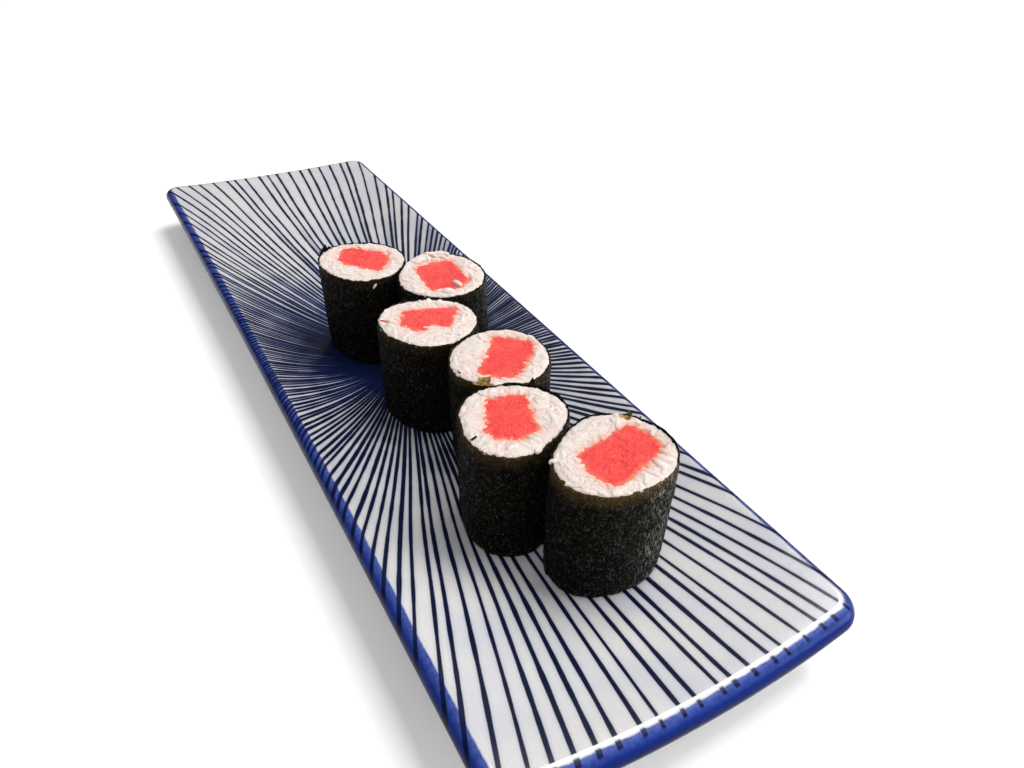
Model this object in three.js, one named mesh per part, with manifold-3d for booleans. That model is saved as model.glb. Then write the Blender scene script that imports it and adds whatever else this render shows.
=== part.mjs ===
// Six thin tuna rolls standing in a zigzag row on a long rectangular dish.
// Millimetres, +Z up. The dish's length runs along X and its width along Y. The
// origin is the middle of the dish's footprint, on the surface that it stands on.
import * as THREE from 'three';
import { mergeVertices } from 'three/addons/utils/BufferGeometryUtils.js';
import Module from 'manifold-3d';

const wasm = await Module();
wasm.setup();

// Dish sizes
const DISH_LENGTH = 331;
const DISH_WIDTH = 98;
const SIDE_WAIST = 0.6; // the long edges curve in by this much at mid length
const END_BULGE = 2.3; // the short edges curve out by this much
const CORNER_RADIUS = 6.8;
const EDGE_THICKNESS = 6.6; // fully rounded, a little fuller than the floor
const FLOOR_THICKNESS = 5.5;
const FLOOR_HEIGHT = 9; // top of the floor at the middle
const DISH_DEPTH = 11; // from the corners' height down to the floor
const SWEEP_ALONG = 2.3; // powers of the rise towards the ends and the sides
const SWEEP_ACROSS = 2;
const END_SAG = 2; // the short edges dip by this much between the corners
const SIDE_RISE = 2.5; // the long edges stand this much higher at mid length

// Foot ring under the dish
const FOOT_LENGTH = 198;
const FOOT_WIDTH = 60;
const FOOT_RING = 6;
const FOOT_RECESS = 2.5;

// Roll sizes shared by all six
const TOP_HEIGHT = 32.7; // cut face above the dish's floor at the roll's middle
const NORI_THICKNESS = 0.5;
const GAP = 0.3; // clearance between neighbouring pieces
const REST_GAP = 0.45; // clearance between a roll's bottom and the dish
const FOOT_TAPER = 0.965; // width at the bottom against width at the top
const LEAN = 0.35; // share of the dish's slope that a roll leans by
const SLOPE_SPAN = 8;
const ROLL_SIDES = 30;

// Rice grains that stand out of the cut face
const GRAIN_COUNT = 22;
const GRAIN_LENGTH = 5.6;
const GRAIN_WIDTH = 2.7;
const GRAIN_SHOW = 0.8; // height of a lying grain above the rice

// Each roll's place, how far its foot stands aside from its top, its outer radius,
// out-of-round shares with their headings in degrees, the corners of its strip of
// tuna in the roll's own axes, and where its seaweed stands up above the cut, by
// heading, spread in degrees and height
const ROLLS = [
  { x: -7.64, y: -8, foot: [0.6, 1.9], r: 14.75, oval: [0.016, 27], lobe: [0.027, -19],
    tuna: [[-12.7, -2], [-2.9, 10.3], [3.8, 9], [11.3, 2.8], [0.8, -7], [-4.2, -8.2]], lift: [[-140, 9, 1.6]] },
  { x: 15, y: 13.74, foot: [0, 0], r: 14.65, oval: [0.027, 7], lobe: [0.021, 30],
    tuna: [[-9.8, -6.1], [-9.9, 2.7], [-8.2, 7.5], [8.2, 6.7], [11.8, 1.2], [8.2, -8.4]], lift: [] },
  { x: 39.16, y: -4.21, foot: [-0.55, 1.05], r: 14.65, oval: [0.04, 59], lobe: [0.029, -19],
    tuna: [[-9.3, -4.5], [-5.3, 10.7], [-2, 11.1], [6.9, 4.2], [3.1, -0.3], [5.9, -4.6], [-1.1, -9.5]],
    lift: [] },
  { x: 67.09, y: 6.1, foot: [0, 0], r: 14.5, oval: [0.008, -24], lobe: [0.023, 23],
    tuna: [[-11, 3.7], [-3.3, 12.2], [0.8, 11.9], [11.5, 0.3], [10.7, -5], [4.3, -9.9]], lift: [] },
  { x: 94.5, y: -6.43, foot: [1.4, -0.15], r: 14.6, oval: [0.062, -50], lobe: [0.051, -36],
    tuna: [[-10.2, -2.8], [-8, 8.4], [8.2, 3.6], [9.2, -3.3], [6.4, -9.1], [1.6, -9.4], [-1.4, -7.2]],
    lift: [[134, 22, 0.9]] },
  { x: 119.2, y: 7.87, foot: [-0.1, -1.75], r: 15, oval: [0.059, -68], lobe: [0.042, 46],
    tuna: [[-3.9, -8.7], [-6, 0.7], [-7.7, 10], [-0.8, 12.3], [4.5, 11.6], [9.2, -0.3], [10.5, -7.3],
      [3.9, -9.7]], lift: [[88, 26, 0.9]] },
];
const TUNA_ROUNDING = 2.2;
const TUNA_PROUD = 0.3; // how far the tuna stands above the rice

const COLOURS = { dish: 0xd6d4d2, nori: 0x11140f, rice: 0xe6ddd2, tuna: 0xee4a40 };

function material(colour, roughness) {
  return new THREE.MeshStandardMaterial({ color: colour, roughness, metalness: 0 });
}

// A seeded draw between 0 and 1, the same on every run
function drawer(seed) {
  let state = seed;
  return () => {
    state = (state * 1664525 + 1013904223) % 4294967296;
    return state / 4294967296;
  };
}

// Height of the dish's upper face: a flat floor that sweeps up to the edges
function dishTop(x, y) {
  const s = Math.min(Math.abs((2 * x) / DISH_LENGTH), 1.1);
  const t = Math.min(Math.abs((2 * y) / DISH_WIDTH), 1.1);
  const along = s ** SWEEP_ALONG;
  const across = t ** SWEEP_ACROSS;
  const fall = DISH_DEPTH * (1 - along) * (1 - across);
  const sag = END_SAG * (1 - t * t) * along;
  const rise = SIDE_RISE * (1 - s * s) * across;
  return FLOOR_HEIGHT + DISH_DEPTH - fall - sag + rise;
}

// A round-cornered rectangle as points, counterclockwise, always the same number
function rectanglePoints(length, width, radius, waist = 0, bulge = 0) {
  const hx = length / 2;
  const hy = width / 2;
  const points = [];
  const sides = [
    { from: [hx, -hy + radius], to: [hx, hy - radius], steps: 6 },
    { from: [hx - radius, hy], to: [-hx + radius, hy], steps: 16 },
    { from: [-hx, hy - radius], to: [-hx, -hy + radius], steps: 6 },
    { from: [-hx + radius, -hy], to: [hx - radius, -hy], steps: 16 },
  ];
  sides.forEach((side, index) => {
    for (let i = 0; i < side.steps; i += 1) {
      const f = i / side.steps;
      points.push([
        side.from[0] + (side.to[0] - side.from[0]) * f,
        side.from[1] + (side.to[1] - side.from[1]) * f,
      ]);
    }
    const turn = (index * Math.PI) / 2;
    const cx = side.to[0] - radius * Math.cos(turn);
    const cy = side.to[1] - radius * Math.sin(turn);
    for (let i = 0; i < 4; i += 1) {
      const a = turn + (i / 4) * (Math.PI / 2);
      points.push([cx + radius * Math.cos(a), cy + radius * Math.sin(a)]);
    }
  });
  return points.map(([x, y]) => {
    const s = x / hx;
    const t = y / hy;
    return [x + Math.sign(x) * bulge * (1 - t * t) * Math.abs(s) ** 4,
      y - Math.sign(y) * waist * (1 - s * s) * Math.abs(t) ** 4];
  });
}

// A closed skin over rings of equal point count. A ring of one point is a pole,
// and without poles the last ring joins the first.
function skin(rings) {
  const positions = [];
  const starts = [];
  rings.forEach((ring) => {
    starts.push(positions.length / 3);
    ring.forEach((p) => positions.push(p[0], p[1], p[2]));
  });
  const index = [];
  const joins = rings[0].length === 1 ? rings.length - 1 : rings.length;
  for (let k = 0; k < joins; k += 1) {
    const a = rings[k];
    const b = rings[(k + 1) % rings.length];
    const sa = starts[k];
    const sb = starts[(k + 1) % rings.length];
    const n = Math.max(a.length, b.length);
    for (let i = 0; i < n; i += 1) {
      const j = (i + 1) % n;
      if (a.length === 1) {
        index.push(sa, sb + i, sb + j);
      } else if (b.length === 1) {
        index.push(sa + i, sb, sa + j);
      } else {
        index.push(sa + i, sb + i, sa + j);
        index.push(sa + j, sb + i, sb + j);
      }
    }
  }
  const geometry = new THREE.BufferGeometry();
  geometry.setAttribute('position', new THREE.Float32BufferAttribute(positions, 3));
  geometry.setIndex(index);
  geometry.computeVertexNormals();
  return geometry;
}

// The dish from the middle of its upper face out over the round edge and back
// along its underside to the foot ring and the shallow recess inside it
function dishGeometry() {
  const half = EDGE_THICKNESS / 2;
  const inner = rectanglePoints(DISH_LENGTH - EDGE_THICKNESS, DISH_WIDTH - EDGE_THICKNESS,
    CORNER_RADIUS - half, SIDE_WAIST, END_BULGE);
  const rings = [[[0, 0, dishTop(0, 0)]]];
  for (const share of [0.17, 0.34, 0.51, 0.68, 0.85]) {
    rings.push(inner.map(([x, y]) => [x * share, y * share, dishTop(x * share, y * share)]));
  }
  for (let i = 0; i <= 6; i += 1) {
    const a = Math.PI / 2 - (i / 6) * Math.PI;
    const out = half * Math.cos(a);
    const grown = rectanglePoints(DISH_LENGTH - EDGE_THICKNESS + 2 * out,
      DISH_WIDTH - EDGE_THICKNESS + 2 * out, CORNER_RADIUS - half + out, SIDE_WAIST, END_BULGE);
    rings.push(grown.map(([x, y], k) => {
      const top = dishTop(inner[k][0], inner[k][1]);
      return [x, y, top - half + half * Math.sin(a)];
    }));
  }
  for (const share of [0.9, 0.76]) {
    rings.push(inner.map(([x, y]) => {
      const thick = EDGE_THICKNESS + (FLOOR_THICKNESS - EDGE_THICKNESS) * (1 - share) * 2;
      return [x * share, y * share, dishTop(x * share, y * share) - thick];
    }));
  }
  const foot = (inset, height) => rectanglePoints(FOOT_LENGTH - 2 * inset,
    FOOT_WIDTH - 2 * inset, 12 - inset).map(([x, y]) => [x, y, height(x, y)]);
  rings.push(foot(-1.5, (x, y) => dishTop(x, y) - FLOOR_THICKNESS));
  rings.push(foot(0, () => 1));
  rings.push(foot(0.8, () => 0));
  rings.push(foot(FOOT_RING - 0.8, () => 0));
  rings.push(foot(FOOT_RING, () => FOOT_RECESS));
  rings.push([[0, 0, FOOT_RECESS]]);
  return skin(rings);
}

// The axes of a roll: it leans by part of the dish's slope where it stands
function rollAxes(roll) {
  const e = SLOPE_SPAN;
  const heights = [dishTop(roll.x + e, roll.y), dishTop(roll.x - e, roll.y),
    dishTop(roll.x, roll.y + e), dishTop(roll.x, roll.y - e)];
  const up = new THREE.Vector3((-LEAN * (heights[0] - heights[1])) / (2 * e),
    (-LEAN * (heights[2] - heights[3])) / (2 * e), 1).normalize();
  const along = new THREE.Vector3(0, 1, 0).cross(up).normalize();
  const across = new THREE.Vector3().crossVectors(up, along);
  const middle = new THREE.Vector3(roll.x, roll.y, heights.reduce((a, b) => a + b) / 4);
  return { up, along, across, middle };
}

// Height, in the roll's own axes, of its soft bottom where it follows the dish
function bottomHeight(roll, axes, x, y) {
  const p = axes.middle.clone().addScaledVector(axes.along, x + roll.foot[0])
    .addScaledVector(axes.across, y + roll.foot[1]);
  return (dishTop(p.x, p.y) - p.z) / axes.up.z + REST_GAP;
}

// Outer radius of a roll at a heading and at a share of its height
function rollRadius(roll, heading, share) {
  const oval = 1 + roll.oval[0] * Math.cos(2 * (heading - THREE.MathUtils.degToRad(roll.oval[1])));
  const lobe = roll.lobe[0] * Math.cos(3 * (heading - THREE.MathUtils.degToRad(roll.lobe[1])));
  const side = FOOT_TAPER + (1 - FOOT_TAPER) * share + 0.048 * share * (1 - share);
  return roll.r * (oval + lobe) * side;
}

// Slides a piece's foot aside, by a share that fades out towards the roll's top
function slidFoot(geometry, roll) {
  const [dx, dy] = roll.foot;
  return geometry.applyMatrix4(new THREE.Matrix4().set(
    1, 0, -dx / TOP_HEIGHT, dx,
    0, 1, -dy / TOP_HEIGHT, dy,
    0, 0, 1, 0,
    0, 0, 0, 1,
  ));
}

function rollRing(roll, inset, share, height) {
  const ring = [];
  for (let i = 0; i < ROLL_SIDES; i += 1) {
    const a = (i / ROLL_SIDES) * 2 * Math.PI;
    const r = rollRadius(roll, a, share) - inset;
    const x = r * Math.cos(a);
    const y = r * Math.sin(a);
    ring.push([x, y, height(a, x, y)]);
  }
  return ring;
}

// The seaweed sheet: an open tube with a slightly wavy cut edge
function noriGeometry(roll, axes, seed) {
  const draw = drawer(seed);
  const turns = [0, 1, 2].map(() => draw() * 2 * Math.PI);
  const bottom = (a, x, y) => bottomHeight(roll, axes, x, y);
  const middle = () => TOP_HEIGHT / 2;
  const lifted = (a) => roll.lift.reduce((sum, [heading, spread, height]) => {
    const off = THREE.MathUtils.euclideanModulo(THREE.MathUtils.radToDeg(a) - heading + 180, 360) - 180;
    return sum + height * Math.exp(-((off / spread) ** 2));
  }, 0);
  const lip = (a) => TOP_HEIGHT + 0.35 + 0.22 * Math.cos(2 * a + turns[0])
    + 0.15 * Math.cos(3 * a + turns[1]) + 0.1 * Math.cos(5 * a + turns[2]) + lifted(a);
  return skin([
    rollRing(roll, 0, 0, bottom),
    rollRing(roll, NORI_THICKNESS, 0, bottom),
    rollRing(roll, NORI_THICKNESS, 0.5, middle),
    rollRing(roll, NORI_THICKNESS, 1, lip),
    rollRing(roll, 0, 1, lip),
    rollRing(roll, 0, 0.5, middle),
  ]);
}

// The strip's outline: its corners, each rounded off along both of its edges
function tunaShape(roll) {
  const shape = new THREE.Shape();
  const corners = roll.tuna.map(([x, y]) => new THREE.Vector2(x, y)).reverse();
  corners.forEach((corner, i) => {
    const before = corners[(i + corners.length - 1) % corners.length];
    const after = corners[(i + 1) % corners.length];
    const cut = (other) => Math.min(TUNA_ROUNDING, other.distanceTo(corner) * 0.42);
    const a = corner.clone().add(before.clone().sub(corner).setLength(cut(before)));
    const b = corner.clone().add(after.clone().sub(corner).setLength(cut(after)));
    if (i === 0) shape.moveTo(a.x, a.y);
    else shape.lineTo(a.x, a.y);
    shape.quadraticCurveTo(corner.x, corner.y, b.x, b.y);
  });
  shape.closePath();
  return shape;
}

// The outline's points without its repeated last one, grown outwards by a distance
function grownOutline(shape, grow) {
  const points = shape.getPoints(3);
  if (points[0].distanceTo(points[points.length - 1]) < 1e-6) points.pop();
  if (THREE.ShapeUtils.isClockWise(points)) points.reverse();
  return points.map((p, i) => {
    const before = points[(i + points.length - 1) % points.length];
    const after = points[(i + 1) % points.length];
    const run = after.clone().sub(before).normalize();
    return new THREE.Vector2(p.x + run.y * grow, p.y - run.x * grow);
  });
}

function prism(outline, from, to) {
  const geometry = new THREE.ExtrudeGeometry(new THREE.Shape(outline), {
    depth: to - from,
    bevelEnabled: false,
  });
  geometry.translate(0, 0, from);
  return geometry;
}

function toSolid(geometry) {
  const bare = geometry.clone();
  bare.deleteAttribute('normal');
  bare.deleteAttribute('uv');
  const merged = mergeVertices(bare, 1e-5);
  return new wasm.Manifold(new wasm.Mesh({
    numProp: 3,
    vertProperties: new Float32Array(merged.attributes.position.array),
    triVerts: new Uint32Array(merged.index.array),
  }));
}

function toGeometry(solid) {
  const mesh = solid.getMesh();
  const geometry = new THREE.BufferGeometry();
  geometry.setAttribute('position', new THREE.BufferAttribute(mesh.vertProperties, 3));
  geometry.setIndex(new THREE.BufferAttribute(mesh.triVerts, 1));
  geometry.computeVertexNormals();
  return geometry;
}

function insideOutline(outline, x, y) {
  let inside = false;
  outline.forEach((p, i) => {
    const q = outline[(i + outline.length - 1) % outline.length];
    if ((p.y > y) !== (q.y > y) && x < ((q.x - p.x) * (y - p.y)) / (q.y - p.y) + p.x) {
      inside = !inside;
    }
  });
  return inside;
}

// One cooked grain, lying on the cut face with a little of it in the rice
function grainGeometry(x, y, z, heading, tip, size) {
  const geometry = new THREE.SphereGeometry(0.5, 6, 4);
  geometry.scale(GRAIN_WIDTH * size, GRAIN_LENGTH * size, GRAIN_WIDTH * size * 0.9);
  geometry.rotateX(tip);
  geometry.rotateZ(heading);
  geometry.translate(x, y, z);
  return geometry;
}

// The rice: a core between seaweed and tuna, with whole grains on its cut face
function riceGeometry(roll, axes, seed) {
  const inset = NORI_THICKNESS + GAP;
  const hole = grownOutline(tunaShape(roll), GAP);
  const tall = TOP_HEIGHT;
  const flat = (z) => () => z;
  const bottom = (a, x, y) => bottomHeight(roll, axes, x, y);
  const core = skin([
    [[0, 0, tall]],
    rollRing(roll, inset + 1, 1, flat(tall)),
    rollRing(roll, inset, 0.97, flat(tall - 0.6)),
    rollRing(roll, inset, 0.5, flat(tall / 2)),
    rollRing(roll, inset, 0, bottom),
    rollRing(roll, inset + 5, 0, bottom),
    [[0, 0, bottomHeight(roll, axes, 0, 0)]],
  ]);
  let solid = toSolid(core).subtract(toSolid(prism(hole, -4, tall + 1)));
  const draw = drawer(seed);
  const placed = [];
  for (let n = 0; n < GRAIN_COUNT; n += 1) {
    let best = null;
    for (let attempt = 0; attempt < 60; attempt += 1) {
      const a = draw() * 2 * Math.PI;
      const limit = rollRadius(roll, a, 1) - inset - 0.25;
      const r = limit * Math.sqrt(0.16 + 0.84 * draw());
      const size = 0.86 + 0.28 * draw();
      const x = r * Math.cos(a);
      const y = r * Math.sin(a);
      const z = tall + GRAIN_SHOW - (GRAIN_WIDTH * size * 0.9) / 2;
      const grain = grainGeometry(x, y, z, draw() * Math.PI, (draw() - 0.5) * 0.3, size);
      const p = grain.attributes.position;
      let clear = true;
      for (let i = 0; i < p.count && clear; i += 1) {
        const px = p.getX(i);
        const py = p.getY(i);
        const reach = rollRadius(roll, Math.atan2(py, px), 0.97) - inset - 0.15;
        clear = Math.hypot(px, py) < reach && !insideOutline(hole, px, py);
      }
      if (clear) {
        const near = Math.min(99, ...placed.map((q) => Math.hypot(q[0] - x, q[1] - y)));
        if (!best || near > best.near) best = { grain, near, x, y };
      }
    }
    if (best) {
      placed.push([best.x, best.y]);
      solid = solid.add(toSolid(best.grain));
    }
  }
  return toGeometry(solid);
}

const group = new THREE.Group();

const dish = new THREE.Mesh(dishGeometry(), material(COLOURS.dish, 0.2));
dish.name = 'plate';
group.add(dish);

ROLLS.forEach((roll, i) => {
  const axes = rollAxes(roll);
  const standing = new THREE.Group();
  standing.position.copy(axes.middle);
  const turn = new THREE.Matrix4().makeBasis(axes.along, axes.across, axes.up);
  standing.quaternion.setFromRotationMatrix(turn);

  const nori = new THREE.Mesh(slidFoot(noriGeometry(roll, axes, 11 + i), roll), material(COLOURS.nori, 0.6));
  nori.name = `nori_${i + 1}`;
  const rice = new THREE.Mesh(slidFoot(riceGeometry(roll, axes, 101 + i), roll), material(COLOURS.rice, 0.55));
  rice.name = `rice_${i + 1}`;
  const outline = grownOutline(tunaShape(roll), 0);
  const foot = Math.max(...outline.map((p) => bottomHeight(roll, axes, p.x, p.y)));
  const strip = prism(outline, foot, TOP_HEIGHT + TUNA_PROUD);
  const tuna = new THREE.Mesh(slidFoot(strip, roll), material(COLOURS.tuna, 0.4));
  tuna.name = `tuna_${i + 1}`;
  standing.add(nori, rice, tuna);
  group.add(standing);
});

export default group;
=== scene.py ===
import math

import bpy
import numpy as np
from mathutils import Matrix


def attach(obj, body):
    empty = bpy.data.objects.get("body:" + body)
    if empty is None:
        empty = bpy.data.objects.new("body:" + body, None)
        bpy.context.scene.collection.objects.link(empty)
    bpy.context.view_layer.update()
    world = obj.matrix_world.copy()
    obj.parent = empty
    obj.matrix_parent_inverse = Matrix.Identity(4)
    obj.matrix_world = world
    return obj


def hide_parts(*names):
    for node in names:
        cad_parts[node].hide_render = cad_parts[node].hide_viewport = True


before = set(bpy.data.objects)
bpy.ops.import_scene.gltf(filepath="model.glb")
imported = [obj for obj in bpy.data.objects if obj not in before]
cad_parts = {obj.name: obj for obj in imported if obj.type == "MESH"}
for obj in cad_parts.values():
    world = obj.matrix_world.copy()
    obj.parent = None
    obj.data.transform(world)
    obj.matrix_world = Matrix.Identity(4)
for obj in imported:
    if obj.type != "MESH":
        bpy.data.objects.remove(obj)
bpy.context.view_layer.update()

# The view: a short lens held close over the dish's near end, tilted a little.
# The floor is a plain pale sheet. One broad lamp stands beyond the dish's far
# long side, with a soft fill over its near end and a small, low lamp beside it.
LENS_MM = 27.94
HEADING, HEIGHT_ANGLE, TILT = (math.radians(a) for a in (59.53, 35.05, 2.03))
EYE = np.array([0.22775, -0.08515, 0.16377])

backwards = np.array([math.sin(HEADING) * math.cos(HEIGHT_ANGLE),
                      -math.cos(HEADING) * math.cos(HEIGHT_ANGLE), math.sin(HEIGHT_ANGLE)])
rightwards = np.array([math.cos(HEADING), math.sin(HEADING), 0.0])
upwards = np.cross(backwards, rightwards)
tilted_right = math.cos(TILT) * rightwards + math.sin(TILT) * upwards
tilted_up = math.cos(TILT) * upwards - math.sin(TILT) * rightwards

camera_data = bpy.data.cameras.new("camera")
camera_data.lens = LENS_MM
camera_data.sensor_width = 36.0
camera_data.clip_start = 0.005
camera = bpy.data.objects.new("camera", camera_data)
bpy.context.scene.collection.objects.link(camera)
view_matrix = np.eye(4)
view_matrix[:3, 0] = tilted_right
view_matrix[:3, 1] = tilted_up
view_matrix[:3, 2] = backwards
view_matrix[:3, 3] = EYE
camera.matrix_world = Matrix(view_matrix.tolist())
bpy.context.scene.camera = camera


def lamp(name, place, aim, size, power):
    """A square soft box at place, turned so that it faces aim."""
    data = bpy.data.lights.new(name, "AREA")
    data.shape = "SQUARE"
    data.size = size
    data.energy = power
    made = bpy.data.objects.new(name, data)
    bpy.context.scene.collection.objects.link(made)
    away = np.array(place, float) - np.array(aim, float)
    away /= np.linalg.norm(away)
    side = np.cross((0.0, 0.0, 1.0), away)
    side /= np.linalg.norm(side)
    matrix = np.eye(4)
    matrix[:3, 0] = side
    matrix[:3, 1] = np.cross(away, side)
    matrix[:3, 2] = away
    matrix[:3, 3] = place
    made.matrix_world = Matrix(matrix.tolist())


lamp("key_lamp", (-0.05, 0.85, 1.85), (0.06, 0.0, 0.02), 1.15, 39.0)
lamp("fill_lamp", (1.2, -1.2, 2.0), (0.08, 0.0, 0.02), 1.6, 16.0)
lamp("side_lamp", (0.75, 0.85, 0.42), (0.10, 0.0, 0.02), 0.5, 8.0)

# The room is bright overhead and dim near the level of the floor: its brightness
# at a height z above the horizon, with 1 straight up, is ROOM_LOW + ROOM_RISE z^2.
ROOM_LOW, ROOM_RISE = 0.06, 0.72
world = bpy.data.worlds.new("studio")
world.use_nodes = True
room = world.node_tree
background = room.nodes["Background"]
background.inputs["Color"].default_value = (1.0, 1.0, 1.0, 1.0)
direction = room.nodes.new("ShaderNodeTexCoord")
height_up = room.nodes.new("ShaderNodeSeparateXYZ")
squared = room.nodes.new("ShaderNodeMath")
squared.operation = "MULTIPLY"
brightness = room.nodes.new("ShaderNodeMath")
brightness.operation = "MULTIPLY_ADD"
brightness.inputs[1].default_value = ROOM_RISE
brightness.inputs[2].default_value = ROOM_LOW
room.links.new(direction.outputs["Generated"], height_up.inputs[0])
room.links.new(height_up.outputs["Z"], squared.inputs[0])
room.links.new(height_up.outputs["Z"], squared.inputs[1])
room.links.new(squared.outputs[0], brightness.inputs[0])
room.links.new(brightness.outputs[0], background.inputs["Strength"])
bpy.context.scene.world = world
bpy.context.scene.view_settings.view_transform = "Standard"

FLOOR_HALF = 3.0
floor_mesh = bpy.data.meshes.new("floor")
floor_corners = [(-FLOOR_HALF, -FLOOR_HALF, 0), (FLOOR_HALF, -FLOOR_HALF, 0),
                 (FLOOR_HALF, FLOOR_HALF, 0), (-FLOOR_HALF, FLOOR_HALF, 0)]
floor_mesh.from_pydata(floor_corners, [], [(0, 1, 2, 3)])
floor = bpy.data.objects.new("floor", floor_mesh)
bpy.context.scene.collection.objects.link(floor)
floor_paint = bpy.data.materials.new("floor_paint")
floor_paint.use_nodes = True
floor_shader = floor_paint.node_tree.nodes["Principled BSDF"]
floor_shader.inputs["Base Color"].default_value = (0.94, 0.94, 0.94, 1)
floor_shader.inputs["Roughness"].default_value = 0.8
floor_mesh.materials.append(floor_paint)

# The dish: one slab of stoneware pressed over a mould, with an upswept rim that
# is rounded over, and a foot ring stuck on underneath. The lines are drawn with
# a loaded brush from the middle outwards, under a clear glaze.
MM = 0.001
DISH_LENGTH, DISH_WIDTH = 331.0, 98.0
SIDE_WAIST, END_BULGE = 0.6, 2.3
CORNER_RADIUS = 6.8
EDGE_THICKNESS, FLOOR_THICKNESS = 6.6, 5.5
FLOOR_HEIGHT, DISH_DEPTH = 9.0, 11.0
SWEEP_ALONG, SWEEP_ACROSS = 2.3, 2.0
END_SAG, SIDE_RISE = 2.0, 2.5
FOOT_LENGTH, FOOT_WIDTH, FOOT_CORNER = 198.0, 60.0, 12.0
FOOT_RING, FOOT_RECESS = 6.0, 2.5
END_STEPS, SIDE_STEPS, CORNER_STEPS = 52, 132, 12
FACE_RINGS, EDGE_RINGS, UNDER_RINGS = 44, 16, 11
UNDER_REACH = 0.74  # the share of the shoulder's size where the underside's rings end
HALF_FACE = 49.0  # what from_shoulder counts from the dish's middle to its shoulder
FOOT_MARK = 60.0  # where from_shoulder starts again at the foot ring


def dish_top(x, y):
    """Height of the upper face: the corners' height, less a fall that fades with
    the powers of the distance towards the ends and sides, less the ends' sag, plus
    the long sides' rise."""
    s = np.minimum(np.abs(2 * x / DISH_LENGTH), 1.1)
    t = np.minimum(np.abs(2 * y / DISH_WIDTH), 1.1)
    along, across = s ** SWEEP_ALONG, t ** SWEEP_ACROSS
    fall = DISH_DEPTH * (1 - along) * (1 - across)
    sag = END_SAG * (1 - t * t) * along
    rise = SIDE_RISE * (1 - s * s) * across
    return FLOOR_HEIGHT + DISH_DEPTH - fall - sag + rise


def dish_outline(length, width, radius, waist=SIDE_WAIST, bulge=END_BULGE):
    """A round-cornered rectangle, counterclockwise: four straight runs, each with
    a quarter circle after it, then bowed in at the sides and out at the ends."""
    hx, hy = length / 2, width / 2
    runs = [((hx, -hy + radius), (hx, hy - radius), END_STEPS),
            ((hx - radius, hy), (-hx + radius, hy), SIDE_STEPS),
            ((-hx, hy - radius), (-hx, -hy + radius), END_STEPS),
            ((-hx + radius, -hy), (hx - radius, -hy), SIDE_STEPS)]
    parts = []
    for number, (start, end, steps) in enumerate(runs):
        f = np.arange(steps)[:, None] / steps
        parts.append(np.array(start) * (1 - f) + np.array(end) * f)
        turn = number * math.pi / 2
        a = turn + np.arange(CORNER_STEPS) / CORNER_STEPS * (math.pi / 2)
        centre = np.array(end) - radius * np.array([math.cos(turn), math.sin(turn)])
        parts.append(centre + radius * np.stack([np.cos(a), np.sin(a)], 1))
    x, y = np.concatenate(parts).T
    s, t = x / hx, y / hy
    return np.stack([x + np.sign(x) * bulge * (1 - t * t) * np.abs(s) ** 4,
                     y - np.sign(y) * waist * (1 - s * s) * np.abs(t) ** 4], 1)


def skin(rings, first_pole=None, last_pole=None, closed=False):
    """Points and faces over rings (rows, columns, 3), each row closed on itself.
    Poles are single points that fans close on; closed joins the last row to the
    first."""
    rows, columns, _ = rings.shape
    points = rings.reshape(-1, 3)
    here = np.arange(columns)
    there = (here + 1) % columns
    faces = []
    for k in range(rows if closed else rows - 1):
        a, b = k * columns, ((k + 1) % rows) * columns
        faces += np.stack([a + here, b + here, b + there, a + there], 1).tolist()
    if first_pole is not None:
        points = np.vstack([points, first_pole])
        faces += np.stack([np.full(columns, len(points) - 1), here, there], 1).tolist()
    if last_pole is not None:
        points = np.vstack([points, last_pole])
        end = (rows - 1) * columns
        faces += np.stack([end + here, np.full(columns, len(points) - 1), end + there], 1).tolist()
    return points, faces


def joined(name, parts, **values):
    """One smooth mesh of parts, each (points in millimetres, faces), with one
    number a point under each name in values for a material to read."""
    start, faces = 0, []
    for points, part_faces in parts:
        faces += [[start + i for i in face] for face in part_faces]
        start += len(points)
    mesh = bpy.data.meshes.new(name)
    mesh.from_pydata((np.vstack([points for points, _ in parts]) * MM).tolist(), [], faces)
    mesh.polygons.foreach_set("use_smooth", np.ones(len(faces), bool))
    mesh.update()
    for key, numbers in values.items():
        layer = mesh.attributes.new(key, "FLOAT", "POINT")
        layer.data.foreach_set("value", np.asarray(numbers, np.float32))
    return mesh


def piece_from(mesh, material, slot, *nodes):
    """An object of that mesh that rides on the dish and stands for CAD nodes."""
    made = bpy.data.objects.new(mesh.name, mesh)
    bpy.context.scene.collection.objects.link(made)
    mesh.materials.append(material)
    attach(made, "root")
    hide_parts(*nodes)


def foot_outline(inset):
    return dish_outline(FOOT_LENGTH - 2 * inset, FOOT_WIDTH - 2 * inset, max(FOOT_CORNER - inset, 3), 0, 0)


half_edge = EDGE_THICKNESS / 2
shoulder = dish_outline(DISH_LENGTH - EDGE_THICKNESS, DISH_WIDTH - EDGE_THICKNESS,
                        CORNER_RADIUS - half_edge)
dish_rings, from_shoulder = [], []
for share in np.linspace(0, 1, FACE_RINGS + 1)[1:]:
    flat = shoulder * share
    dish_rings.append(np.column_stack([flat, dish_top(*flat.T)]))
    from_shoulder.append(-(1 - share) * HALF_FACE)
shoulder_height = dish_top(*shoulder.T)
for a in np.linspace(0, math.pi, EDGE_RINGS + 1)[1:]:
    out = half_edge * math.sin(a)
    ring = dish_outline(DISH_LENGTH - EDGE_THICKNESS + 2 * out, DISH_WIDTH - EDGE_THICKNESS + 2 * out,
                        CORNER_RADIUS - half_edge + out)
    dish_rings.append(np.column_stack([ring, shoulder_height - half_edge + half_edge * math.cos(a)]))
    from_shoulder.append(a * half_edge)
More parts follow.
